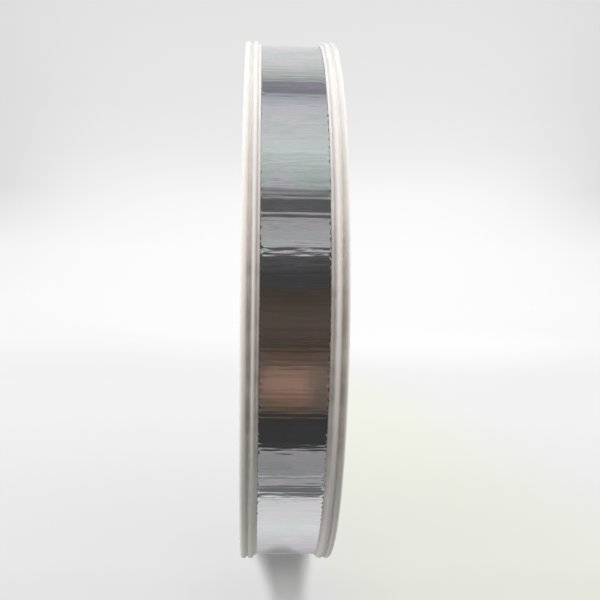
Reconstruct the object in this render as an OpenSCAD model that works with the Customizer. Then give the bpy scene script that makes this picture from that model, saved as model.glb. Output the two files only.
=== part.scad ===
// Aluminium foil strip wound on a white moulded spool.
// The spool's axis lies along X and the spool stands on its two rims. The origin
// is the centre of the bore. All sizes are in millimetres.

/* [Strip] */
// Width of the aluminium strip
strip_w = 21; // [15:0.5:30]
// Depth of the outermost turn below the crests of the rims
wound_drop = 1.5; // [1:0.1:25]

/* [Rims] */
// Diameter over the crests of the rims
flange_d = 200; // [180:1:300]
// Radius of the round ridges, two on each rim
ridge_r = 1.2; // [0.8:0.05:1.2]
// Distance between the crests of two neighbouring ridges
ridge_pitch = 2.5; // [2.5:0.1:4]
// Width of the flat lip between the strip and the inner ridge
lip_w = 0.9; // [0.4:0.1:2]
// Radial width of the thick ring that carries the ridges
rim_w = 7; // [5:0.5:12]

/* [Flanges] */
// Thickness of the flat web
web_t = 2.6; // [2:0.1:3.5]
// Number of stiffening ribs on each flange
rib_count = 8; // [3:1:16]
// Thickness of a stiffening rib
rib_t = 1.8; // [1.2:0.1:3]
// Depth of the ribs below the outer face of the rims
rib_drop = 0.6; // [0:0.1:1.5]

/* [Hub] */
// Outer diameter of the barrel that the strip is wound on
barrel_d = 100; // [90:1:120]
// Wall of the barrel
barrel_wall = 2.5; // [1.5:0.1:4]
// Diameter of the bore for a spindle
bore_d = 52; // [40:0.5:60]
// Wall of the tube around the bore
tube_wall = 2.5; // [1.5:0.1:4]
// Radial width of the raised ring around the bore
hub_ring_w = 8; // [5:0.5:10]
// Chamfer at each mouth of the bore
bore_chamfer = 0.8; // [0.2:0.1:1.5]

/* [Fits] */
// Gap between the strip and each flange
side_gap = 0.2; // [0.1:0.05:0.5]
// Gap between the innermost turn and the barrel
barrel_gap = 0.05; // [0.02:0.01:0.3]
// Gap around the spigot that centres one half in the other
spigot_gap = 0.1; // [0.05:0.05:0.3]
// Length of the spigot on each side of the joint
spigot_l = 3; // [2:0.5:6]
// Wall of the spigot
spigot_wall = 1.6; // [1:0.1:2.5]

/* [Hidden] */
$fn = 128;
bore_r = bore_d / 2;
flange_r = flange_d / 2;
wound_r = flange_r - wound_drop;
barrel_r = barrel_d / 2;
barrel_inner_r = barrel_r - barrel_wall;

// Distances from the mid-plane to the inner face, the web face and the outer face
inner_x = strip_w / 2 + side_gap;
web_x = inner_x + web_t;
outer_x = inner_x + lip_w + 2 * ridge_r + ridge_pitch;

// The lip and the centres of the ridges lie on one radius
lip_r = flange_r - ridge_r;
rim_inner_r = flange_r - rim_w;
hub_ring_r = bore_r + hub_ring_w;

edge_round = 0.8;    // radius on the edges of the raised rings
rib_root = 1;        // how far a rib runs into the ring at each of its ends
cut_over = 1;        // how far a cut runs past the face that it opens

// A rectangle in the section: radius from r0 to r1, distance along the axis from a0 to a1
module band(r0, r1, a0, a1) {
    translate([r0, a0]) square([r1 - r0, a1 - a0]);
}

// A rounded corner in the section, with its centre at radius r and distance a
module round_corner(r, a) {
    translate([r, a]) circle(r = edge_round);
}

// The rim: a thick ring with a flat lip next to the strip, then two round ridges
module rim_section() {
    band(rim_inner_r, lip_r, inner_x, outer_x - edge_round);
    band(rim_inner_r + edge_round, lip_r, inner_x, outer_x);
    round_corner(rim_inner_r + edge_round, outer_x - edge_round);
    for (crest_x = [outer_x - ridge_r - ridge_pitch, outer_x - ridge_r])
        translate([lip_r, crest_x]) circle(r = ridge_r);
}

// The raised ring around the bore
module hub_section() {
    band(bore_r, hub_ring_r, inner_x, outer_x - edge_round);
    band(bore_r, hub_ring_r - edge_round, inner_x, outer_x);
    round_corner(hub_ring_r - edge_round, outer_x - edge_round);
}

// The mouth of the bore, which the chamfer takes away from the hub ring
module mouth_section() {
    polygon([[bore_r, outer_x - bore_chamfer],
             [bore_r + bore_chamfer, outer_x],
             [bore_r + bore_chamfer, outer_x + cut_over],
             [bore_r - cut_over, outer_x + cut_over],
             [bore_r - cut_over, outer_x - bore_chamfer]]);
}

// One half of the spool in section, from the mid-plane at 0 out to its flange
module half_section() {
    difference() {
        union() {
            band(bore_r, rim_inner_r + edge_round, inner_x, web_x);
            rim_section();
            hub_section();
            band(barrel_inner_r, barrel_r, 0, web_x);
            band(bore_r, bore_r + tube_wall, 0, web_x);
        }
        mouth_section();
    }
}

// The spigot: solid with its own barrel, and a free ring past the mid-plane
module spigot_section() {
    spigot_r = barrel_inner_r - spigot_gap;
    band(spigot_r - spigot_wall, barrel_r, 0, spigot_l);
    band(spigot_r - spigot_wall, spigot_r, -spigot_l, spigot_l);
}

// The stiffening ribs from the hub ring to the rim
module rib_set() {
    rib_l = rim_inner_r - hub_ring_r + 2 * rib_root;
    rib_h = outer_x - rib_drop - inner_x - web_t / 2;
    for (i = [0 : rib_count - 1])
        rotate([0, 0, i * 360 / rib_count])
            translate([hub_ring_r - rib_root, -rib_t / 2, inner_x + web_t / 2])
                cube([rib_l, rib_t, rib_h]);
}

// A spool half on the mid-plane, with its flange upwards
module spool_half() {
    rotate_extrude() half_section();
    rib_set();
}

module left_spool_half() {
    color("white")
        rotate([0, -90, 0]) {
            spool_half();
            rotate_extrude() spigot_section();
        }
}

module right_spool_half() {
    color("white") rotate([0, 90, 0]) spool_half();
}

// The wound strip: all its turns as one turned solid, with its bore round the barrel
module aluminium_coil() {
    color("silver")
        rotate([0, 90, 0])
            rotate_extrude()
                band(barrel_r + barrel_gap, wound_r, -strip_w / 2, strip_w / 2);
}

left_spool_half();
right_spool_half();
aluminium_coil();
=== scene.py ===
# %% [markdown]
# # A coil of bright aluminium strip on a white spool
# Thin aluminium strip is slit to width and wound, turn on turn, between the flanges of a
# moulded plastic spool. Seen edge-on it is a narrow thing: two ridged white rims with a
# mirror-bright band between them. This lesson turns both as smooth surfaces of revolution,
# then spends its effort on the two finishes and on the surroundings that a mirror needs.

# %% Load the fixed frame
import math

import bpy
import numpy as np
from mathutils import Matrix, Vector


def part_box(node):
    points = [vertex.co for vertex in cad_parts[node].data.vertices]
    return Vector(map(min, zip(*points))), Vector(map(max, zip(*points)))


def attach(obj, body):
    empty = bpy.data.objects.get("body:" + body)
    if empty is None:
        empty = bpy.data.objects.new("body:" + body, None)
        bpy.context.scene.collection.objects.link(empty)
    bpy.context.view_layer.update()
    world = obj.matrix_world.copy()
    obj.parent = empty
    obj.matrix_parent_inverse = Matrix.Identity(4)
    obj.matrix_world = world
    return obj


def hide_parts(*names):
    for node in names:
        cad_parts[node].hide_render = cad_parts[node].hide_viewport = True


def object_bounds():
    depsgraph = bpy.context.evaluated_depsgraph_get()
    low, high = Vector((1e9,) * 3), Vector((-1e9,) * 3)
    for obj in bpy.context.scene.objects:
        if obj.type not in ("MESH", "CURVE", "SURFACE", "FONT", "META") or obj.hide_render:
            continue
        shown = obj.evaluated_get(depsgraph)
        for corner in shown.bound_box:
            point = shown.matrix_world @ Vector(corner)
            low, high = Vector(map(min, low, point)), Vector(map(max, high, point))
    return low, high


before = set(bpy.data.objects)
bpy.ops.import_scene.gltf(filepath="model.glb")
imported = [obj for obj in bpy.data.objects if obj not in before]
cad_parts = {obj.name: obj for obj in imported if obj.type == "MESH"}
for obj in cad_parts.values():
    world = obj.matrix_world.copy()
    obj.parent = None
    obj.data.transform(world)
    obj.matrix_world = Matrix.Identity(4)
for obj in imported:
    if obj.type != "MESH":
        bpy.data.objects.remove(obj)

cad_low, cad_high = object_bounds()
MM = 0.001              # a millimetre in metres
ML = 1e-6               # a millilitre in cubic metres
TURN = 2 * math.pi      # a full turn in radians
print("frame of", len(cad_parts), "nodes, box from", tuple(cad_low), "to", tuple(cad_high))

# %% [markdown]
# ## One way to make every surface
# Everything on this object is turned or wound, so each piece can be one grid of points: one
# direction goes round the axis, the other goes round the section. Blender's Spin or Screw tools
# would also turn a section, but a grid worked out with numpy can bend its lines where a rib
# stands or where the metal ripples. Both directions close on themselves, so there is no seam
# and no pole, and the sign of the enclosed volume says which way the faces point.


# %% Make a closed mesh from a grid of points
def ring_mesh(name, points):
    """A closed surface from points of shape (section, around, 3).
    Each face joins a point to its neighbour round the axis and to the next row of the section,
    and the last row and column join the first. Six times the enclosed volume is the sum over
    the triangles of corner . (corner x corner), and a negative sum turns every face over."""
    rows, columns = points.shape[:2]
    index = np.arange(rows * columns).reshape(rows, columns)
    next_row = np.roll(index, -1, axis=0)
    faces = np.stack([index, np.roll(index, -1, 1), np.roll(next_row, -1, 1), next_row], -1)
    faces = faces.reshape(-1, 4)
    flat = points.reshape(-1, 3)
    a, b, c, d = (flat[faces[:, k]] for k in range(4))
    volume = np.einsum("ij,ij->", a, np.cross(b, c)) + np.einsum("ij,ij->", a, np.cross(c, d))
    if volume < 0:
        faces = faces[:, ::-1]
    mesh = bpy.data.meshes.new(name)
    mesh.from_pydata(flat, [], faces)
    mesh.shade_smooth()
    piece = bpy.data.objects.new(name, mesh)
    bpy.context.scene.collection.objects.link(piece)
    print(f"{name}: {2 * len(faces)} triangles round {abs(volume) / 6 / ML:.1f} ml")
    return piece


def around_axis(x, radius, angle):
    """Points from a place along the axis, a radius and an angle. The axis is X. The angle is 0
    at the front (-Y) and grows upwards, so y is -radius cos(angle) and z is radius sin(angle)."""
    y, z = -radius * np.cos(angle), radius * np.sin(angle)
    return np.stack(np.broadcast_arrays(x, y, z), -1)


# %% [markdown]
# ## The section of a moulded part
# No edge of a moulding is sharp: the tool has a small radius in every corner, and it is that
# radius which catches the light. A Bevel modifier would round the edges too, but the section
# has few corners, so each one is given its own radius here. A short step of flat on both sides
# of each arc keeps the smooth shading of the arc off the flat faces.

# %% Round the corners of an outline
ARC_STEP = 0.2 * MM
SUPPORT = 0.12 * MM


def unit(vector):
    """The vector divided by its own length."""
    return vector / np.linalg.norm(vector)


def rounded_corner(before, corner, after, rounding):
    """The points that take the place of one corner of an outline. Without rounding it stays.
    With h half the corner's opening, the arc starts rounding / tan(h) from the corner along each
    side, and its centre lies rounding / sin(h) from the corner, on the line that halves it."""
    to_last, to_next = unit(before - corner), unit(after - corner)
    if rounding == 0:
        return corner[None]
    half = np.arccos(np.clip(to_last @ to_next, -1, 1)) / 2
    cut = rounding / np.tan(half)
    centre = corner + unit(to_last + to_next) * rounding / np.sin(half)
    start, end = corner + to_last * cut - centre, corner + to_next * cut - centre
    sweep = np.arctan2(start[0] * end[1] - start[1] * end[0], start @ end)
    steps = max(3, math.ceil(abs(sweep) * rounding / ARC_STEP))
    turn = np.linspace(0, sweep, steps + 1)[:, None]
    square_on = np.array([-start[1], start[0]])
    points = [centre + start * np.cos(turn) + square_on * np.sin(turn)]
    if np.linalg.norm(before - corner) - cut > 4 * SUPPORT:
        points.insert(0, (corner + to_last * (cut + SUPPORT))[None])
    if np.linalg.norm(after - corner) - cut > 4 * SUPPORT:
        points.append((corner + to_next * (cut + SUPPORT))[None])
    return np.concatenate(points)


def rounded_outline(corners):
    """A closed outline of points from corners (x, radius from the axis, rounding)."""
    corners = np.array(corners)
    before, after = np.roll(corners, 1, axis=0), np.roll(corners, -1, axis=0)
    turns = zip(before[:, :2], corners[:, :2], after[:, :2], corners[:, 2])
    return np.concatenate([rounded_corner(*turn) for turn in turns])


# %% [markdown]
# ## The spool half
# The spool is moulded in two halves that push together on a short spigot inside the barrel.
# Seen from outside, each half is a flange: a thin web, a thick rim with a flat lip and two
# round ridges on its edge, a raised ring round the bore, and radial ribs that stop the web from
# bowing under the wound metal. The CAD has the same sizes, but its facets show in a close view,
# so a finer surface stands for it, with the small radii that the tool would leave.

# %% Sizes of the spool
SIDE_GAP, BARREL_GAP, SPIGOT_GAP = 0.2 * MM, 0.05 * MM, 0.1 * MM
RIM_W, HUB_RING_W = 7 * MM, 8 * MM
WEB_T = 2.6 * MM
WALL, SPIGOT_WALL = 2.5 * MM, 1.6 * MM
RIB_DROP = 0.6 * MM     # how far the ribs stay below the outer face

strip_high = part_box("aluminium_coil")[1]
wound_r = strip_high.z
strip_x = strip_high.x
inner_x = strip_x + SIDE_GAP

rim_r = cad_high.z
outer_x = cad_high.x
ridge_r = 1.2 * MM
ridge_pitch = 2.5 * MM
lip_r = rim_r - ridge_r
rim_inner_r = rim_r - RIM_W
web_x = inner_x + WEB_T

bore_r = 26 * MM
bore_chamfer = 0.8 * MM
tube_r = bore_r + WALL
hub_ring_r = bore_r + HUB_RING_W
barrel_r = 50 * MM
barrel_inner_r = barrel_r - WALL
spigot_r = barrel_inner_r - SPIGOT_GAP
spigot_inner_r = spigot_r - SPIGOT_WALL
spigot_l = 3 * MM

rib_count = 8
rib_x = outer_x - RIB_DROP
print(f"rims {2 * rim_r / MM:.1f} mm across, {2 * outer_x / MM:.1f} mm over both")
print(f"strip {2 * strip_x / MM:.1f} mm wide, wound to {2 * wound_r / MM:.1f} mm")

# %% The outline of one half, from the mid-plane outwards
# Radii of corners
SMALL = 0.1 * MM
FILLET = 0.5 * MM
EDGE = 0.8 * MM
LIP_CORNER = 0.25 * MM
JOINT_CORNER = 0.04 * MM

# The ridges: the blur of their grooves, its steps, and the rows of points over them
GROOVE_BLUR = 0.16 * MM
BLUR_REACH = 0.6 * MM
FINE_STEP = 0.01 * MM
ROW_STEP = 0.09 * MM
FIRST_ROW = 5 * ROW_STEP
CREST_ROWS = 12
crest_x = outer_x - ridge_r - np.array([ridge_pitch, 0])


def ridge_line():
    """Corners without rounding along the rim's edge, from the lip over both ridges. Each ridge
    is a half circle, height = sqrt(r^2 - distance^2), and a Gaussian blur fills the sharp groove
    between them. The outer side of the outer ridge is left as it is: a quarter circle."""
    x = np.arange(inner_x - MM, outer_x + MM, FINE_STEP)
    distance = np.abs(x[:, None] - crest_x).min(axis=1)
    height = np.sqrt(np.maximum(ridge_r ** 2 - distance ** 2, 0))
    reach = np.arange(-BLUR_REACH, BLUR_REACH + FINE_STEP / 2, FINE_STEP)
    kernel = np.exp(-(reach / GROOVE_BLUR) ** 2 / 2)
    height = np.convolve(height, kernel / kernel.sum(), "same")
    flat = np.arange(inner_x + FIRST_ROW, crest_x[1] - FINE_STEP, ROW_STEP)
    turn = np.linspace(0, TURN / 4, CREST_ROWS)
    crest = np.interp(crest_x[1], x, height)
    place = np.concatenate([flat, crest_x[1] + ridge_r * np.sin(turn)])
    risen = np.concatenate([np.interp(flat, x, height), crest * np.cos(turn)])
    return np.column_stack([place, lip_r + risen, np.zeros(len(place))]).tolist()


def half_outline(has_spigot):
    """The closed section of a spool half as (x, radius), with x growing from the mid-plane."""
    outline = [
        (0, barrel_r, SMALL),
        (inner_x, barrel_r, SMALL),
        (inner_x, lip_r, LIP_CORNER),
        *ridge_line(),
        (outer_x, rim_inner_r, EDGE),
        (web_x, rim_inner_r, FILLET),
        (web_x, hub_ring_r, FILLET),
        (outer_x, hub_ring_r, EDGE),
        (outer_x, bore_r + bore_chamfer, SMALL),
        (outer_x - bore_chamfer, bore_r, SMALL),
        (0, bore_r, SMALL),
        (0, tube_r, SMALL),
        (inner_x, tube_r, FILLET),
        (inner_x, barrel_inner_r, FILLET),
    ]
    spigot = [
        (spigot_l, barrel_inner_r, SMALL),
        (spigot_l, spigot_inner_r, SMALL),
        (-spigot_l, spigot_inner_r, SMALL),
        (-spigot_l, spigot_r, SMALL),
        (0, spigot_r, JOINT_CORNER),
    ]
    plain = [(0, barrel_inner_r, SMALL)]
    return rounded_outline(outline + (spigot if has_spigot else plain))


print(len(half_outline(True)), "points in the outline of a half with its spigot")

# %% [markdown]
# ## Ribs without a seam
# A rib could be a separate bar sunk into the web, but it would meet the web in a hard line.
# Here it is the same skin, lifted: the grid's columns run straight along each rib and fan out
# between the ribs, and where a column lies on a rib the web's outer face rises to meet it.

# %% Columns round the axis
# Distances from a rib's middle: where its flat top ends, where it meets the web, and the columns
RIB_TOP, RIB_FOOT = 0.76 * MM, 1.06 * MM
RIB_LINES = np.array([0, 0.45, 0.7, 0.76, 0.82, 0.88, 0.94, 1.0, 1.06, 1.12, 1.7]) * MM
FAN_COLUMNS = 17
SECTOR = TURN / rib_count


def column_angles(radius):
    """Angles of all columns at each radius. Beside a rib, a column keeps its distance t from
    the rib's middle, so its angle is asin(t / radius). The others share the rest evenly, and
    the far half of each sector is the mirror image of the near half."""
    near = np.arcsin(RIB_LINES / radius[:, None])
    share = np.arange(1, FAN_COLUMNS) / FAN_COLUMNS
    fan = near[:, -1:] + share * (SECTOR / 2 - near[:, -1:])
    half = np.concatenate([near, fan], axis=1)
    middle = np.full_like(near[:, :1], SECTOR / 2)
    sector = np.concatenate([half, middle, SECTOR - half[:, :0:-1]], axis=1)
    starts = np.arange(rib_count) * SECTOR
    return (starts[:, None] + sector[:, None, :]).reshape(len(radius), -1)


def smooth_step(low, high, value):
    """0 up to low, 1 from high on, and 3t^2 - 2t^3 between, where t goes from 0 to 1."""
    t = np.clip((value - low) / (high - low), 0, 1)
    return t * t * (3 - 2 * t)


# %% Turn the outline and lift the ribs
def spool_half(name, cad_node, side, has_spigot):
    """Turns the outline round the axis and lifts the web where a rib stands. A point on the web
    moves out by the whole rib height, and a point on the wall of a ring by the share of it
    (outer face - x) / (outer face - web), so that the order of the points stays."""
    outline = half_outline(has_spigot)
    x, radius = outline[:, 0], outline[:, 1]
    angle = column_angles(radius)
    from_rib = np.abs((angle + SECTOR / 2) % SECTOR - SECTOR / 2)
    on_rib = 1 - smooth_step(RIB_TOP, RIB_FOOT, radius[:, None] * np.sin(from_rib))
    past_edge = 1.1 * EDGE
    in_recess = (radius > hub_ring_r - past_edge) & (radius < rim_inner_r + past_edge)
    in_recess &= x > web_x - SMALL
    lift = np.where(in_recess, (rib_x - web_x) * (outer_x - x) / (outer_x - web_x), 0)
    raised_x = x[:, None] + on_rib * lift[:, None]
    piece = ring_mesh(name, around_axis(side * raised_x, radius[:, None], angle))
    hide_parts(cad_node)
    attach(piece, "root")
    return piece


left_half = spool_half("moulded_half_left", "left_spool_half", -1, True)
right_half = spool_half("moulded_half_right", "right_spool_half", 1, False)

# %% [markdown]
# ## The wound strip
# The strip is thin enough to print through: every turn shows small ripples across its width,
# slow undulations from the turns below, and a slightly curled, uneven edge where it was slit.
# On a mirror such errors of a hundredth of a millimetre are what the eye sees, because they
# bend the reflections. A bump map alone would leave the edge dead straight, so the ripples are
# real heights here: random waves, filtered so that only the wanted wavelengths remain.


# %% Random waves that close on themselves
def ring_waves(rng, layers, shortest, longest):
    """Rows of random heights round the strip, one height for each column of the grid.
    White noise goes through a Fourier transform, and each wave between the two wavelengths is
    divided by its frequency, which gives long and short waves the same slope. The result is
    scaled until the slope, as a root mean square, is 1 for the whole row."""
    frequency = np.fft.rfftfreq(STRIP_COLUMNS, TURN * wound_r / STRIP_COLUMNS)
    spectrum = np.fft.rfft(rng.standard_normal((layers, STRIP_COLUMNS)))
    kept = (frequency >= 1 / longest) & (frequency <= 1 / shortest)
    slopes = np.fft.irfft(spectrum * kept, STRIP_COLUMNS)
    heights = np.fft.irfft(spectrum * kept / np.maximum(TURN * frequency, 1), STRIP_COLUMNS)
    return heights / slopes.std(axis=1, keepdims=True)


def across(x, control, rows):
    """Blends rows of waves from one side of the strip to the other. Each row belongs to a place
    in control, and between two places the share changes as a smooth step."""
    position = np.interp(x, control, np.arange(len(control)))
    low = np.minimum(position.astype(int), len(control) - 2)
    share = smooth_step(0, 1, position - low)[:, None]
    return rows[low] * (1 - share) + rows[low + 1] * share


STRIP_COLUMNS = 2500
PLACES_ACROSS = 6
# The shortest and the longest wave of each kind
RIPPLE_WAVES = (1.3 * MM, 5 * MM)
PART_WAVES = (1.3 * MM, 4 * MM)
UNDULATION_WAVES = (9 * MM, 45 * MM)
EDGE_WAVES = (1.6 * MM, 4 * MM)
WEAVE_WAVES = (40 * MM, 200 * MM)

waves = np.random.default_rng(21)
column = TURN * np.arange(STRIP_COLUMNS) / STRIP_COLUMNS
places = np.linspace(-strip_x, strip_x, PLACES_ACROSS)

ripple_all = ring_waves(waves, 1, *RIPPLE_WAVES)
ripple_part = ring_waves(waves, len(places), *PART_WAVES)
undulation = ring_waves(waves, len(places), *UNDULATION_WAVES)
edge_waves = ring_waves(waves, 2, *EDGE_WAVES)
weave = ring_waves(waves, 1, *WEAVE_WAVES)[0]
print(f"ripples of {ripple_all.std() / MM:.2f} mm at a slope of 1, weave of {weave.std() / MM:.1f} mm")

# %% The strip's outer face
RIPPLE_SLOPE = math.radians(0.65)
PART_SLOPE = math.radians(0.35)
UNDULATION_SLOPE = math.radians(0.12)
EDGE_SLOPE = math.radians(5)
STRIP_T = 0.1 * MM
STRIP_END = math.radians(205)   # the angle of the cut end, behind and low
CURL_W, CURL_DROP = 0.25 * MM, 0.02 * MM

# Rows of the grid: close together near the edges, even over the middle
EDGE_STEPS = np.array([0, 0.06, 0.14, 0.25, 0.4, 0.6, 0.85, 1.2]) * MM
MIDDLE_FROM_EDGE = 1.7 * MM
MIDDLE_ROWS = 16


def strip_height(x):
    """Height of the outer face over its lowest radius, for each x and each column: ripples
    that cross the whole width, ripples that come and go, and slow undulations, each as its
    wave times its slope. Near an edge the strip also curls, by exp(-distance / curl width)
    times the waves of that edge. The whole is a spiral: it loses one strip thickness from the
    cut end round to the cut end again."""
    height = RIPPLE_SLOPE * ripple_all
    height = height + PART_SLOPE * across(x, places, ripple_part)
    height = height + UNDULATION_SLOPE * across(x, places, undulation)
    for side, wave in zip((-1, 1), edge_waves):
        near_edge = np.exp(-(strip_x - side * x) / CURL_W)[:, None]
        height = height + near_edge * (EDGE_SLOPE * wave - CURL_DROP)
    return height - STRIP_T * ((column - STRIP_END) % TURN) / TURN


middle_x = (strip_x - MIDDLE_FROM_EDGE) * np.linspace(-1, 1, MIDDLE_ROWS)
face_x = np.concatenate([-strip_x + EDGE_STEPS, middle_x, strip_x - EDGE_STEPS[::-1]])
face_r = wound_r + strip_height(face_x)
print(f"outer face from {face_r.min() / MM:.2f} to {face_r.max() / MM:.2f} mm from the axis")


# %% Close the coil round its bore
WIDEN = 1.016           # how much wider the visible edges spread, into the gaps at the flanges
UNEVEN = 0.25           # how much of an edge's waves also moves it sideways
WEAVE_SLOPE = 0.002
CLEAR = 0.01 * MM       # the least gap to a flange
SHOULDER = 0.06 * MM    # a row this far down keeps the shading of the corner narrow


def wound_strip():
    """The outer face, then down the right side, along the bore and up the left side. The edge
    of the strip weaves a little from side to side, and it is uneven by its own waves."""
    wander = WEAVE_SLOPE * weave
    scallop = np.exp(-np.abs(np.abs(face_x) - strip_x) / CURL_W)[:, None]
    uneven = np.where(face_x[:, None] < 0, edge_waves[0], edge_waves[1]) * UNEVEN
    x = face_x[:, None] * WIDEN + wander + scallop * uneven
    x = np.clip(x, CLEAR - inner_x, inner_x - CLEAR)
    at_bore = np.full(STRIP_COLUMNS, barrel_r + BARREL_GAP)
    down = np.stack([face_r[-1] - SHOULDER, face_r[-1] - MM, at_bore])
    up = np.stack([at_bore, face_r[0] - MM, face_r[0] - SHOULDER])
    all_x = np.concatenate([x, np.repeat(x[-1:], 3, axis=0), np.repeat(x[:1], 3, axis=0)])
    all_r = np.concatenate([face_r, down, up])
    piece = ring_mesh("wound_strip", around_axis(all_x, all_r, column))
    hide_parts("aluminium_coil")
    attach(piece, "root")
    return piece


strip = wound_strip()

# %% [markdown]
# ## Writing node trees as formulas
# Both finishes and the surroundings are node trees. Clicked together they are easy to see but
# hard to repeat, so a few helpers here turn a formula into nodes. Each takes sockets or plain
# numbers: a socket is linked, and a number is typed into the node.


# %% Helpers for nodes: values
def node(tree, kind, inputs=(), **options):
    """Adds a node, sets its options, and feeds its inputs, each named or numbered."""
    made = tree.nodes.new("ShaderNode" + kind)
    for key, value in options.items():
        setattr(made, key, value)
    for key, value in dict(inputs).items():
        if isinstance(value, bpy.types.NodeSocket):
            tree.links.new(value, made.inputs[key])
        else:
            made.inputs[key].default_value = value
    return made


def calc(tree, operation, *values):
    """One Math node: the operation on one, two or three values."""
    return node(tree, "Math", enumerate(values), operation=operation).outputs[0]


def product(tree, first, *others):
    """All values multiplied: first x second x third and so on."""
    for value in others:
        first = calc(tree, "MULTIPLY", first, value)
    return first


def total(tree, first, *others):
    """All values added up."""
    for value in others:
        first = calc(tree, "ADD", first, value)
    return first


def distance_of(tree, one, other):
    """The distance from two lengths at right angles: sqrt(one^2 + other^2)."""
    squares = [calc(tree, "POWER", length, 2.0) for length in (one, other)]
    return calc(tree, "SQRT", total(tree, *squares))


def ramp_to(tree, value, low, high, start, end):
    """Map Range: start up to low, end from high on, and a smooth step between."""
    inputs = {"Value": value, "From Min": low, "From Max": high, "To Min": start, "To Max": end}
    return node(tree, "MapRange", inputs, interpolation_type="SMOOTHSTEP").outputs["Result"]


def noise(tree, position, scale, detail, stretch=(1, 1, 1)):
    """Noise of about scale spots in a metre, stretched by scaling the position first."""
    moved = node(tree, "Mapping", {"Vector": position, "Scale": stretch}).outputs[0]
    made = node(tree, "TexNoise", {"Vector": moved, "Scale": scale, "Detail": detail})
    return made.outputs["Fac"]


def spots(tree, position, scale, detail, low=0.0, high=1.0, stretch=(1, 1, 1)):
    """Noise with more contrast: most of it lies between 0.3 and 0.7, which go to low and high."""
    return ramp_to(tree, noise(tree, position, scale, detail, stretch), 0.3, 0.7, low, high)


# %% Helpers for nodes: colours
def opaque(red, green, blue):
    """A colour with its alpha."""
    return (red, green, blue, 1.0)


def blend(tree, share, first, second, kind="MIX"):
    """Mixes two colours by a share from 0 to 1. The Mix node takes them at inputs 6 and 7."""
    inputs = {0: share, 6: first, 7: second}
    return node(tree, "Mix", inputs, data_type="RGBA", blend_type=kind).outputs[2]


def tinted(tree, colour, factor):
    """A colour times another colour or a value."""
    return blend(tree, 1.0, colour, factor, "MULTIPLY")


def colour_ramp(tree, value, stops):
    """A Color Ramp from (place, colour) pairs in rising order. A new ramp already holds a stop
    at each end, so the last pair takes the one at 1 and the first pair the one at 0."""
    ramp = node(tree, "ValToRGB", {0: value})
    elements = ramp.color_ramp.elements
    stops = list(stops)
    elements[1].position, elements[1].color = stops[-1]
    elements[0].position, elements[0].color = stops[0]
    for place, colour in stops[1:-1]:
        elements.new(place).color = colour
    return ramp.outputs[0]


def grey_ramp(tree, value, levels):
    """A Color Ramp of greys from {place: level}."""
    return colour_ramp(tree, value, [(p, opaque(v, v, v)) for p, v in levels.items()])


# %% Helpers for nodes: whole trees
def emptied(owner):
    """The node tree of a material or world, with nothing in it."""
    owner.use_nodes = True
    owner.node_tree.nodes.clear()
    return owner.node_tree


def new_finish(name):
    """An empty material with its shader: (material, tree, shader, position on the piece)."""
    material = bpy.data.materials.new(name)
    tree = emptied(material)
    shader = node(tree, "BsdfPrincipled")
    output = node(tree, "OutputMaterial", {"Surface": shader.outputs[0]})
    output.is_active_output = True
    position = node(tree, "TexCoord").outputs["Object"]
    return material, tree, shader, position


def add_relief(tree, shader, height, depth):
    """Feeds a height from about 0 to 1 to the shader as bump, depth metres from 0 to 1."""
    bump = node(tree, "Bump", {"Height": height, "Strength": 1.0, "Distance": depth})
    tree.links.new(bump.outputs[0], shader.inputs["Normal"])


# %% [markdown]
# ## White moulded plastic
# The spool is a cheap white polystyrene moulding. It is nearly white but not pure: it has faint
# cloudy shades, a soft gloss that varies with how well the tool was polished, and an orange-peel
# texture of a millimetre or two. Beside and between the ridges its colour holds painted shade, with
# a little grey dust in it, while the crests stay clean, so it is laid by the place across the rim.
# The painted shade is strongest a little below the middle of the height and weak at foot and top,
# where more light gets into the grooves. The rims are also tinted at foot and top.
# Between the ribs, each field of the web has the round mark of the pin that pushed the part out
# of the tool.

# %% The plastic and its places
plastic, tree, shader, position = new_finish("white_moulded_plastic")
axes = node(tree, "SeparateXYZ", {0: position}).outputs
radius = distance_of(tree, axes["Y"], axes["Z"])

# The rim's own finish starts this far below the lip, and is full from there
RIM_STARTS, RIM_FULL = 0.6 * MM, 0.2 * MM
on_rim = ramp_to(tree, radius, lip_r - RIM_STARTS, lip_r - RIM_FULL, 0.0, 1.0)

# The height over the foot of the spool, from 0 to 1
height = calc(tree, "DIVIDE", total(tree, axes["Z"], rim_r), 2 * rim_r)
# The place across the rim, from 0 at the strip to 1 at the outer face
along = calc(tree, "ABSOLUTE", axes["X"])
place = calc(tree, "DIVIDE", calc(tree, "SUBTRACT", along, inner_x), outer_x - inner_x)

# %% Cloudy whites, tinted at foot and top
CLOUD_WHITES = opaque(0.875, 0.835, 0.79), opaque(0.9, 0.865, 0.825)
SPECKLE_WHITE = opaque(0.9, 0.88, 0.86)
CLOUD_SCALE, SPECKLE_SCALE = 28.0, 520.0    # spots in a metre
SPECKLE_SHARE = 0.25
RIM_TINT_UPWARDS = {0.0: 1.0, 0.26: 0.9, 0.34: 0.0, 0.62: 0.0, 0.76: 0.9, 0.9: 1.0}
FOOT_TINT = opaque(0.985, 1.03, 0.975)
TOP_TINT = opaque(0.975, 1.025, 1.06)

cloud = ramp_to(tree, noise(tree, position, CLOUD_SCALE, 4.0), 0.35, 0.65, 0.0, 1.0)
white = blend(tree, cloud, *CLOUD_WHITES)
speckle = product(tree, spots(tree, position, SPECKLE_SCALE, 3.0), SPECKLE_SHARE)
white = blend(tree, speckle, white, SPECKLE_WHITE)
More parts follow.
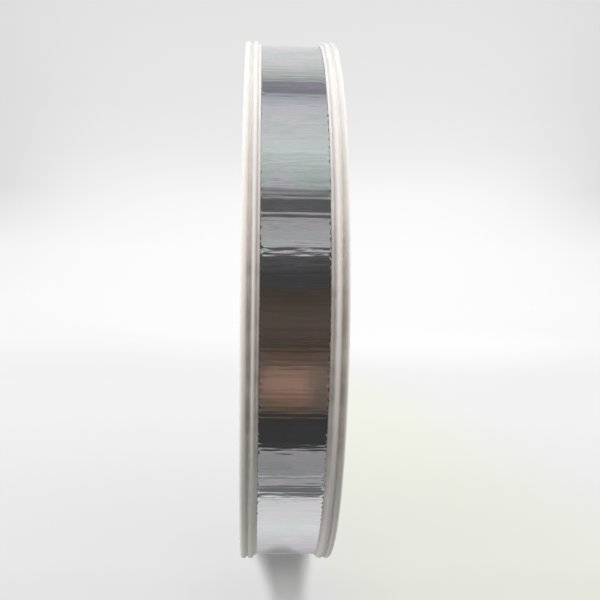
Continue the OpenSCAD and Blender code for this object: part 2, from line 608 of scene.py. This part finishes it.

# The rim is tinted greenish towards the foot and bluish towards the top, except low on the right
on_right = ramp_to(tree, axes["X"], -MM, MM, 0.0, 1.0)
low_right = product(tree, on_right, ramp_to(tree, height, 0.35, 0.65, 1.0, 0.0))
elsewhere = calc(tree, "SUBTRACT", 1.0, low_right)
rim_tint_share = product(tree, grey_ramp(tree, height, RIM_TINT_UPWARDS), on_rim, elsewhere)
rim_tint = blend(tree, ramp_to(tree, height, 0.3, 0.7, 0.0, 1.0), FOOT_TINT, TOP_TINT)
white = blend(tree, rim_tint_share, white, rim_tint, "MULTIPLY")

# %% Painted shade and dust beside and between the ridges
# Painted shade in the colour, with a little dust: it darkens the lip beside the strip and the groove
# between the ridges, and spares the crests and the outer side
SHADE_AND_DUST_ACROSS = {0.0: 1.0, 0.08: 0.9, 0.15: 0.86, 0.22: 0.72, 0.29: 0.3, 0.36: 0.0, 0.41: 0.7,
               0.46: 1.0, 0.54: 1.0, 0.62: 0.85, 0.69: 0.6, 0.76: 0.25, 0.84: 0.0}
# The painted shade is weak at foot and top, where more light gets into the grooves
SHADE_AND_DUST_UPWARDS = {0.1: 0.1, 0.18: 0.27, 0.255: 0.65, 0.32: 0.85, 0.5: 0.9, 0.56: 0.75, 0.62: 0.55,
                0.745: 0.33, 0.86: 0.12}
SHADE_AND_DUST_COLOUR = opaque(0.31, 0.285, 0.265)
RIGHT_SHIFT = 0.16      # on the right rim the painted shade and dust lie this much further out
SHADE_AND_DUST_SCALE, POLISH_SCALE = 160.0, 75.0
DUST_ROUGHNESS = 0.3

# The shift is small beside the strip and full from the groove on
shift = product(tree, ramp_to(tree, axes["X"], -MM, MM, 0.0, RIGHT_SHIFT),
                ramp_to(tree, place, 0.3, 0.55, 0.2, 1.0))
shaded_place = calc(tree, "SUBTRACT", place, shift)
# The colour takes the painted shade and dust by the place across the rim and by height
dust_and_shade = product(tree, grey_ramp(tree, shaded_place, SHADE_AND_DUST_ACROSS),
               grey_ramp(tree, height, SHADE_AND_DUST_UPWARDS),
               spots(tree, position, SHADE_AND_DUST_SCALE, 2.0, 0.85, 1.1), on_rim)
tree.links.new(blend(tree, dust_and_shade, white, SHADE_AND_DUST_COLOUR), shader.inputs["Base Color"])

polish = spots(tree, position, POLISH_SCALE, 3.0, 0.3, 0.4)
dulled = product(tree, dust_and_shade, DUST_ROUGHNESS)
tree.links.new(total(tree, polish, dulled), shader.inputs["Roughness"])
shader.inputs["IOR"].default_value = 1.55

# %% Orange peel and the marks of the ejector pins
PIN_R = 3 * MM
PIN_CIRCLE_R = 66 * MM
PIN_EDGE = 0.1 * MM
PEEL_SCALE = 500.0
# Heights as shares of the relief's depth
PEEL, PIN_DIP, PIN_RIM = 0.05, -0.6, 0.5
PLASTIC_RELIEF = 0.08 * MM

# The angle from the middle of a field between two ribs, then the distance from its pin
angle = calc(tree, "ARCTAN2", axes["Z"], product(tree, axes["Y"], -1.0))
from_middle = calc(tree, "SUBTRACT", calc(tree, "FLOORED_MODULO", angle, SECTOR), SECTOR / 2)
outwards = product(tree, radius, calc(tree, "COSINE", from_middle))
sideways = product(tree, radius, calc(tree, "SINE", from_middle))
from_pin = distance_of(tree, calc(tree, "SUBTRACT", outwards, PIN_CIRCLE_R), sideways)

# A shallow dip with a raised rim round it
dip = ramp_to(tree, from_pin, PIN_R - PIN_EDGE, PIN_R + PIN_EDGE, PIN_DIP, 0.0)
from_edge = calc(tree, "ABSOLUTE", calc(tree, "SUBTRACT", from_pin, PIN_R))
raised = ramp_to(tree, from_edge, 0.5 * PIN_EDGE, 3 * PIN_EDGE, PIN_RIM, 0.0)
peel = product(tree, noise(tree, position, PEEL_SCALE, 1.0), PEEL)
add_relief(tree, shader, total(tree, peel, dip, raised), PLASTIC_RELIEF)

for half in (left_half, right_half):
    half.data.materials.append(plastic)
print(plastic.name, "has", len(tree.nodes), "nodes")

# %% [markdown]
# ## Bright rolled aluminium
# The strip is bright on the side that ran against a polished roll, so it is close to a mirror,
# and its own colour is a pale cool grey. What it lacks is depth of colour, so the detail is in
# its relief: hair-fine lines across the width from the winding, and fainter lines along its
# length from the roll. Both are noise on Object coordinates, drawn out in one direction.

# %% The metal's finish
LINES_ACROSS = (0.05, 1, 1)
LINES_ALONG = (1, 0.01, 0.01)
METAL_SHADES = opaque(0.895, 0.905, 0.915), opaque(0.925, 0.93, 0.935)
SHADE_SCALE, HAZE_SCALE = 380.0, 60.0
WOUND_SCALE, ROLLED_SCALE = 1500.0, 2600.0
ROLLED_SHARE = 0.14     # how deep the lines from the roll are, beside those from the winding
METAL_RELIEF = 0.011 * MM

metal, tree, shader, position = new_finish("bright_rolled_aluminium")
shader.inputs["Metallic"].default_value = 1.0
shade = spots(tree, position, SHADE_SCALE, 3.0, stretch=LINES_ACROSS)
tree.links.new(blend(tree, shade, *METAL_SHADES), shader.inputs["Base Color"])
haze = noise(tree, position, HAZE_SCALE, 3.0, (0.6, 1, 1))
tree.links.new(ramp_to(tree, haze, 0.35, 0.7, 0.03, 0.07), shader.inputs["Roughness"])

wound = noise(tree, position, WOUND_SCALE, 2.0, LINES_ACROSS)
rolled = product(tree, noise(tree, position, ROLLED_SCALE, 2.0, LINES_ALONG), ROLLED_SHARE)
add_relief(tree, shader, total(tree, wound, rolled), METAL_RELIEF)
strip.data.materials.append(metal)
print(metal.name, "has", len(tree.nodes), "nodes")

# %% [markdown]
# ## The floor
# The spool stands on its two rims on a pale table that runs on out of sight. Close to the
# object it is an ordinary matt surface, so that it takes the shadow. Further off it turns into
# plain light, for camera rays only, which joins it to the background without a horizon. A plane
# would do as a shape, but a disc of rings has the same rim in every direction.

# %% A round floor under the rims
FLOOR_R = 12.0
FLOOR_RINGS, FLOOR_SPOKES = 24, 96


def floor_disc():
    """Rings of points from the middle outwards, radius = full radius x (ring / rings)^3, with
    the innermost ring closed by a fan of one face."""
    ring_r = FLOOR_R * (np.arange(1, FLOOR_RINGS + 1) / FLOOR_RINGS)[:, None] ** 3
    spoke = TURN * np.arange(FLOOR_SPOKES) / FLOOR_SPOKES
    x, y = ring_r * np.cos(spoke), ring_r * np.sin(spoke)
    points = np.stack([x, y, np.full_like(x, cad_low.z)], -1).reshape(-1, 3)
    index = np.arange(x.size).reshape(x.shape)
    turned = np.roll(index, -1, axis=1)
    faces = np.stack([index[:-1], index[1:], turned[1:], turned[:-1]], -1).reshape(-1, 4)
    mesh = bpy.data.meshes.new("floor")
    mesh.from_pydata(points, [], [*faces.tolist(), index[0].tolist()])
    piece = bpy.data.objects.new("floor", mesh)
    bpy.context.scene.collection.objects.link(piece)
    return piece


floor = floor_disc()
floor.visible_glossy = False
floor.visible_diffuse = False
floor.visible_shadow = False
print("floor of", len(floor.data.polygons), "faces")

# %% The matt table near the spool
tabletop = bpy.data.materials.new("pale_table")
tree = emptied(tabletop)
position = node(tree, "TexCoord").outputs["Object"]
axes = node(tree, "SeparateXYZ", {0: position}).outputs

# Distances from the foot: in all, before or behind it, and to its sides
distance = distance_of(tree, axes["X"], axes["Y"])
before = calc(tree, "ABSOLUTE", axes["Y"])
beside = calc(tree, "ABSOLUTE", axes["X"])

# A cream tint on the right of the spool, as from a warm window on that side
CREAM = opaque(1.0, 1.015, 0.925)
cream_share = product(tree, ramp_to(tree, axes["X"], 0.0, 0.04, 0.0, 1.0),
                      ramp_to(tree, axes["X"], 0.1, 0.2, 1.0, 0.0),
                      ramp_to(tree, distance, 0.4, 1.3, 1.0, 0.0))
cream = blend(tree, cream_share, opaque(1, 1, 1), CREAM)

# Faint cloudy greys, and painted shade that makes the table a little darker from the foot on than in
# front of it
GRAIN_SCALE, GRAIN_GREYS = 30.0, (0.9, 0.93)
FOOT_STARTS = (-0.06, -0.01)
FOOT_SHADE = 0.86
grain_and_shade = product(tree, spots(tree, position, GRAIN_SCALE, 3.0, *GRAIN_GREYS),
                ramp_to(tree, axes["Y"], *FOOT_STARTS, 1.0, FOOT_SHADE))
matt = node(tree, "BsdfDiffuse", {"Color": tinted(tree, cream, grain_and_shade)}).outputs[0]

# %% The plain light further off
# Brightness by half the distance from the spool, in metres
FLOOR_LIGHT = {0.0: 0.77, 0.018: 0.775, 0.026: 0.793, 0.06: 0.815, 0.13: 0.855, 0.24: 0.888,
               0.34: 0.893, 0.47: 0.896, 0.54: 0.915, 0.65: 0.937, 0.765: 0.958, 0.9: 0.97,
               1.0: 0.98}
FLOOR_BOWL = 5.1
FLOOR_TILT = (0.14, 0.024)      # close by, and far off
FLOOR_DARKEST = 0.04
SIDE_LIGHTEST = -0.03   # the sides may be lighter than the middle by this much at most
VIEW_MIDDLE = 0.035     # the view is centred this far to the right, as the sine of the angle
AT_FOOT = 0.1           # closer to the foot than this, angles no longer matter

far_floor = grey_ramp(tree, product(tree, distance, 0.5), FLOOR_LIGHT)

# It darkens to both sides with the fourth power of the angle, and is tilted a little. Like the
# background, it does so only beyond the spool as the camera sees it.
away = calc(tree, "MAXIMUM", distance, AT_FOOT)
aside = calc(tree, "SUBTRACT", calc(tree, "DIVIDE", axes["X"], away), VIEW_MIDDLE)
beyond = ramp_to(tree, calc(tree, "DIVIDE", axes["Y"], away), 0.0, 0.6, 0.0, 1.0)
tilt = product(tree, aside, ramp_to(tree, distance, 1.2, 3.5, *FLOOR_TILT))
bowl = calc(tree, "SUBTRACT", product(tree, calc(tree, "POWER", aside, 4.0), FLOOR_BOWL), tilt)
bowl = calc(tree, "MAXIMUM", bowl, SIDE_LIGHTEST)
bowl = calc(tree, "SMOOTH_MIN", bowl, FLOOR_DARKEST, FLOOR_DARKEST / 2)
darker = product(tree, bowl, beyond, ramp_to(tree, distance, 0.6, 1.5, 0.0, 1.0))
side_fade = calc(tree, "SUBTRACT", 1.0, darker)

# It also carries a painted shadow of the spool: a little darker in front of it, most of all straight
# ahead of it
FRONT_DARKER = (0.09, 0.035)    # straight ahead, and beside that
painted_front_shadow = product(tree, ramp_to(tree, axes["Y"], *FOOT_STARTS, 1.0, 0.0),
                   ramp_to(tree, distance, 0.5, 2.0, 1.0, 0.0),
                   ramp_to(tree, beside, 0.01, 0.05, *FRONT_DARKER))
front_fade = calc(tree, "SUBTRACT", 1.0, painted_front_shadow)
for factor in (side_fade, cream, front_fade):
    far_floor = tinted(tree, far_floor, factor)
glow = node(tree, "Emission", {"Color": far_floor, "Strength": 1.0}).outputs[0]

# %% From the matt table to the plain light
# The matt part is a wedge that narrows away from the foot, and the plain light round it gives the
# shadow that narrowing shape: plain light starts 0.05 m off and has taken over at 0.15 m, with the
# distance to the sides counted for more
WEDGE_ROOT, WEDGE_TAPER = 8.5, 140.0
LEAST_PLAIN = (0.12, 0.4)       # the share of plain light even in the shadow: at the foot, off it
wedge = product(tree, beside, calc(tree, "MULTIPLY_ADD", before, WEDGE_TAPER, WEDGE_ROOT))
least = ramp_to(tree, before, 0.01, 0.06, *LEAST_PLAIN)
share = ramp_to(tree, calc(tree, "MAXIMUM", wedge, before), 0.05, 0.15, least, 1.0)
seen = node(tree, "LightPath").outputs["Is Camera Ray"]
mixed = node(tree, "MixShader", {0: product(tree, seen, share), 1: matt, 2: glow}).outputs[0]
node(tree, "OutputMaterial", {"Surface": mixed})
floor.data.materials.append(tabletop)
print(tabletop.name, "has", len(tree.nodes), "nodes")

# %% [markdown]
# ## What the mirror sees
# A mirror has no look of its own: it shows the room. A plain white studio would make the strip
# vanish, so the surroundings that glossy rays meet are a room: a bright ceiling, a pale wall
# with shelves, a dark space behind the camera, some warm wood, and the edge of a white table.
# They are kept as bands of the angle round the spool's axis, 0 towards the camera, 90 straight
# up and -90 straight down, because that angle alone decides what a turned mirror shows.

# %% The bands of the room, as (what, from, to, brightness from, to, tint)
NEUTRAL = (1, 1, 1)
COOL = (0.98, 1.0, 1.0)
GREEN = (0.96, 1.02, 1.0)
PURPLE = (1.0, 0.97, 1.08)
WARM = (1.25, 0.95, 0.78)
WOOD = (1.46, 0.9, 0.66)

ABOVE = [
    ("dark hall", 0, 4, 58, 60, WARM),
    ("dark hall, upper part", 4, 9.8, 62, 59, NEUTRAL),
    ("dark shelf", 10, 19.7, 60, 82, NEUTRAL),
    ("rail", 20.0, 21.1, 182, 190, NEUTRAL),
    ("gap over the rail", 21.3, 22.0, 92, 88, NEUTRAL),
    ("grey cupboard", 22.3, 34.0, 162, 144, NEUTRAL),
    ("shadow over the cupboard", 34.6, 41.6, 90, 84, NEUTRAL),
    ("wall", 42.8, 49.0, 100, 162, COOL),
    ("wall, lit part", 49.5, 66.0, 162, 194, GREEN),
    ("wall below the ceiling", 66.5, 88.0, 194, 183, COOL),
    ("cornice", 89.0, 97.5, 184, 156, PURPLE),
    ("dark beam", 98.5, 107, 122, 135, PURPLE),
    ("ceiling", 110, 124, 168, 198, NEUTRAL),
    ("bright ceiling", 126, 150, 200, 209, NEUTRAL),
    ("wall at the back", 155, 180, 214, 250, NEUTRAL),
]
BELOW = [
    ("dark hall, lower part", 0, 6, 62, 68, WARM),
    ("dark wood", 6.5, 20, 73, 60, WARM),
    ("wood in shade", 20.5, 27, 68, 82, WOOD),
    ("warm wood", 28, 37, 104, 120, WOOD),
    ("wood, lower edge", 38, 46, 106, 80, WOOD),
    ("slot under the wood", 46.4, 48, 74, 66, WARM),
    ("black panel", 48.5, 64.7, 52, 54, NEUTRAL),
    ("edge of the table", 65.1, 66.4, 140, 142, NEUTRAL),
    ("table, near part", 67, 80.2, 134, 132, NEUTRAL),
    ("table, bright fold", 80.5, 81.2, 190, 186, NEUTRAL),
    ("second fold", 81.5, 84.7, 134, 164, NEUTRAL),
    ("shadow of the fold", 85.2, 91.7, 94, 106, NEUTRAL),
    ("bright line", 92.0, 93.3, 245, 240, NEUTRAL),
    ("thin dark line", 93.5, 93.7, 110, 120, NEUTRAL),
    ("white table", 93.9, 118, 195, 208, NEUTRAL),
    ("white table, towards the foot", 120, 152, 203, 168, NEUTRAL),
]
STRIP_SHINE = 0.89      # the share of the light that the strip gives back


def display_to_light(level):
    """A display level from 0 to 255 as an amount of light: ((v + 0.055) / 1.055)^2.4."""
    return ((level / 255 + 0.055) / 1.055) ** 2.4


def room_ramp(tree, turn, bands):
    """A colour ramp over 0 to 180 degrees with two stops for each band. Each stop is brighter
    than what the strip should show of it, by 1 / shine."""
    stops = []
    for _, start, end, first, last, tint in bands:
        for place, level in ((start, first), (end, last)):
            light = display_to_light(level) / STRIP_SHINE
            stops.append((place / 180, opaque(*(light * part for part in tint))))
    return colour_ramp(tree, turn, stops)


print(len(ABOVE), "bands above the camera's direction,", len(BELOW), "below it")

# %% The room for glossy rays
world = bpy.data.worlds.new("studio")
bpy.context.scene.world = world
tree = emptied(world)
direction = node(tree, "TexCoord").outputs["Generated"]
axes = node(tree, "SeparateXYZ", {0: direction}).outputs

# How far a direction lies above the camera's, in half turns round the axis, and how far below
towards = product(tree, axes["Y"], -1.0)
turn = calc(tree, "DIVIDE", calc(tree, "ARCTAN2", axes["Z"], towards), math.pi)
depth = product(tree, turn, -1.0)
above = room_ramp(tree, calc(tree, "MAXIMUM", turn, 0.0), ABOVE)
below = room_ramp(tree, calc(tree, "MAXIMUM", depth, 0.0), BELOW)
room = blend(tree, calc(tree, "GREATER_THAN", turn, 0.0), below, above)

# Things on shelves, as streaks along the axis, and a slow drift of tint
STREAK_SCALE = 160.0    # streaks in half a turn
STREAK_LEVELS = (0.8, 1.15)
DRIFT_SCALE = 6.0
DRIFT_TINTS = opaque(0.9, 0.99, 0.94), opaque(1.08, 1.01, 1.08)
streak_inputs = {"W": product(tree, turn, STREAK_SCALE), "Scale": 1.0, "Detail": 5.0,
                 "Roughness": 0.65}
streaks = node(tree, "TexNoise", streak_inputs, noise_dimensions="1D").outputs["Fac"]
room = tinted(tree, room, ramp_to(tree, streaks, 0.3, 0.7, *STREAK_LEVELS))
drift = spots(tree, direction, DRIFT_SCALE, 2.0, stretch=(6, 1, 1))
room = tinted(tree, room, blend(tree, drift, *DRIFT_TINTS))

# The warm wood is a narrow cupboard, with shade on both sides of it
WOOD_X = 0.034
WOOD_STARTS, WOOD_ENDS = (-0.27, -0.24), (-0.14, -0.1)
WOOD_SHADE = opaque(0.1, 0.085, 0.075)
at_wood = product(tree, ramp_to(tree, turn, *WOOD_STARTS, 0.0, 1.0),
                  ramp_to(tree, turn, *WOOD_ENDS, 1.0, 0.0))
from_wood = calc(tree, "ABSOLUTE", calc(tree, "SUBTRACT", axes["X"], WOOD_X))
shade = product(tree, at_wood, ramp_to(tree, from_wood, 0.012, 0.036, 0.0, 0.75))
room = blend(tree, shade, room, WOOD_SHADE)

# The spool's shadow on the table, which lies before its foot: it starts narrow and faint and
# widens towards the foot, and behind the foot it fades out. Places are angles as parts of a half
# turn, 0.5 straight down.
SHADOW_X = 0.028
SHADOW_SOFT = 0.007
SHADOW_POINT, SHADOW_SPREAD = 0.693, 0.1035
SHADOW_FADES_IN = (0.735, 0.833)
SHADOW_FADES_OUT = (0.87, 0.9)
SHADOW_LEVEL = 138      # as the strip should show it
half_width = calc(tree, "MULTIPLY", calc(tree, "SUBTRACT", depth, SHADOW_POINT), SHADOW_SPREAD)
from_shadow = calc(tree, "ABSOLUTE", calc(tree, "SUBTRACT", axes["X"], SHADOW_X))
shadow = ramp_to(tree, from_shadow, total(tree, half_width, -SHADOW_SOFT),
                 total(tree, half_width, SHADOW_SOFT), 1.0, 0.0)
shadow = product(tree, shadow, ramp_to(tree, depth, *SHADOW_FADES_IN, 0.0, 1.0),
                 ramp_to(tree, depth, *SHADOW_FADES_OUT, 1.0, 0.0))
dark_table = display_to_light(SHADOW_LEVEL) / STRIP_SHINE
room = blend(tree, shadow, room, opaque(dark_table, dark_table, dark_table))

# Behind the spool the table gets brighter again, up to the wall that it ends at
BRIGHTER_BEHIND = 1.7
room = tinted(tree, room, ramp_to(tree, depth, 0.88, 1.0, 1.0, BRIGHTER_BEHIND))

# %% [markdown]
# ## Light and background
# The same surroundings also have to light the matt plastic and to fill the view behind the
# spool. One room could do all three jobs, but a room dark enough for the mirror would make the
# plastic grey and the background uneven. So each kind of ray meets its own: matt surfaces meet
# soft greys, and the camera meets a nearly white backdrop that darkens upwards and sideways.

# %% The light for matt surfaces
# Weak from below the horizon and stronger from above; the table gives some back from straight
# below, and pale walls low on both sides light the outer flanks of the rims
LOW_LIGHT, HIGH_LIGHT = 0.07, 0.3
TABLE_LIGHT, SIDE_LIGHT = 0.55, 0.04
LEFT_WALL_LIGHT, RIGHT_WALL_LIGHT = 0.75, 0.45

from_above = ramp_to(tree, axes["Z"], -0.35, 0.7, LOW_LIGHT, HIGH_LIGHT)
from_below = ramp_to(tree, axes["Z"], -0.98, -0.55, TABLE_LIGHT, 0.0)
from_sides = ramp_to(tree, calc(tree, "ABSOLUTE", axes["X"]), 0.3, 0.95, 0.0, SIDE_LIGHT)
low = ramp_to(tree, axes["Z"], -0.5, 0.2, 1.0, 0.0)
left_wall = ramp_to(tree, axes["X"], -1.0, -0.5, LEFT_WALL_LIGHT, 0.0)
right_wall = ramp_to(tree, axes["X"], 0.5, 1.0, 0.0, RIGHT_WALL_LIGHT)
walls = product(tree, low, total(tree, left_wall, right_wall))
facing = total(tree, from_above, from_below, from_sides, walls)

# %% The background for the camera
BACKGROUND = {0.0: 0.98, 0.05: 0.98, 0.105: 0.945, 0.155: 0.848, 0.2: 0.812, 0.3: 0.775}
SIDE_FADE = {0.0: 0.17, 0.05: 0.33, 0.11: 0.95, 0.16: 0.6, 0.21: 0.5, 0.27: 0.33}
BACK_BOWL = 30.0
BACK_TILT = 0.0047
BACK_DARKEST = 0.24

# It darkens with height, and to both sides of the view's middle with the fourth power
aside = calc(tree, "SUBTRACT", axes["X"], VIEW_MIDDLE)
bowl = calc(tree, "SUBTRACT", calc(tree, "POWER", aside, 4.0), product(tree, aside, BACK_TILT))
bowl = calc(tree, "MAXIMUM", product(tree, bowl, BACK_BOWL), SIDE_LIGHTEST)
bowl = calc(tree, "SMOOTH_MIN", bowl, BACK_DARKEST, BACK_DARKEST / 2)
beyond = ramp_to(tree, axes["Y"], 0.0, 0.6, 0.0, 1.0)
darker = product(tree, bowl, beyond, grey_ramp(tree, axes["Z"], SIDE_FADE))
fade = calc(tree, "SUBTRACT", 1.0, darker)
backdrop = tinted(tree, grey_ramp(tree, axes["Z"], BACKGROUND), fade)

# %% Each kind of ray meets its own surroundings
path = node(tree, "LightPath").outputs
lit, mirrored, shown = (node(tree, "Background", {"Color": colour, "Strength": 1.0}).outputs[0]
                        for colour in (facing, room, backdrop))
first = node(tree, "MixShader", {0: path["Is Glossy Ray"], 1: lit, 2: mirrored}).outputs[0]
final = node(tree, "MixShader", {0: path["Is Camera Ray"], 1: first, 2: shown}).outputs[0]
node(tree, "OutputWorld", {"Surface": final})
print("world of", len(tree.nodes), "nodes")

# %% [markdown]
# ## Lamps
# The spool has five soft lamps of its own. One above and behind whitens the tops of the rims, one
# in front and above draws the ridges, and those on the two sides, set back a little, catch the
# outer flanks: two on the left, one high and one low, and one on the right. The table has one wide
# lamp overhead. White plastic this thin lets much of its light through, so on the table only the
# metal throws a shadow, which is narrow and soft. Light linking sorts this out. The metal must not
# show lamps as bright squares, so glossy rays miss them.


# %% Soft lamps
def linked(name, pieces):
    """A collection for light linking that holds the pieces."""
    group = bpy.data.collections.new(name)
    for piece in pieces:
        group.objects.link(piece)
    return group


def soft_lamp(name, place, size, level, tint=(1, 1, 1)):
    """A rectangular lamp at a place, turned to face the origin. Its level is the brightness of a
    white card that faces it there: a lamp of P watts gives P / (pi distance)^2."""
    lamp = bpy.data.lights.new(name, "AREA")
    lamp.shape = "RECTANGLE"
    lamp.size, lamp.size_y = size
    lamp.color = tint
    holder = bpy.data.objects.new(name, lamp)
    holder.location = place
    holder.rotation_euler = holder.location.to_track_quat("Z", "Y").to_euler()
    holder.visible_glossy = False
    lamp.energy = level * (math.pi * holder.location.length) ** 2
    bpy.context.scene.collection.objects.link(holder)
    print(f"{name}: {lamp.energy:.1f} W")
    return holder


pieces_lit = linked("lit_as_the_spool", (left_half, right_half, strip))
spool_lamps = [
    soft_lamp("top_lamp", (0.05, 0.5, 0.95), (0.8, 0.5), 0.15, (0.95, 1.0, 1.1)),
    soft_lamp("front_lamp", (0.0, -0.8, 0.8), (0.35, 0.35), 0.78, (1.0, 0.94, 0.905)),
    soft_lamp("left_lamp", (-1.1, 0.2, 0.4), (0.4, 0.7), 0.4, (1.0, 0.94, 0.91)),
    soft_lamp("low_left_lamp", (-1.1, 0.15, -0.3), (0.4, 0.3), 0.3, (0.99, 1.0, 0.95)),
    soft_lamp("right_lamp", (1.1, 0.2, 0.3), (0.4, 0.6), 0.6, (1.0, 0.94, 0.88)),
]
for holder in spool_lamps:
    holder.light_linking.receiver_collection = pieces_lit

table_lamp = soft_lamp("table_lamp", (0.06, -0.1, 1.25), (1.2, 0.3), 0.85)
table_lamp.light_linking.receiver_collection = linked("lit_as_the_table", (floor,))
table_lamp.light_linking.blocker_collection = linked("shades_the_table", (strip,))

# %% [markdown]
# ## The camera
# The camera stands close, at the height of the axis and almost straight in front, so the top
# and bottom of the spool curve away and both rims show their outer edges. It is turned a little
# to the side and leans by about half a degree.

# %% Place the camera
lens = bpy.data.cameras.new("camera")
lens.sensor_width = 36.0
lens.lens = 57.3
camera = bpy.data.objects.new("camera", lens)
camera.location = (-11.8 * MM, -383 * MM, 0)
camera.rotation_euler = (math.radians(90), math.radians(-0.6), math.radians(-2.65))
bpy.context.scene.collection.objects.link(camera)
bpy.context.scene.camera = camera
bpy.context.scene.view_settings.view_transform = "Standard"
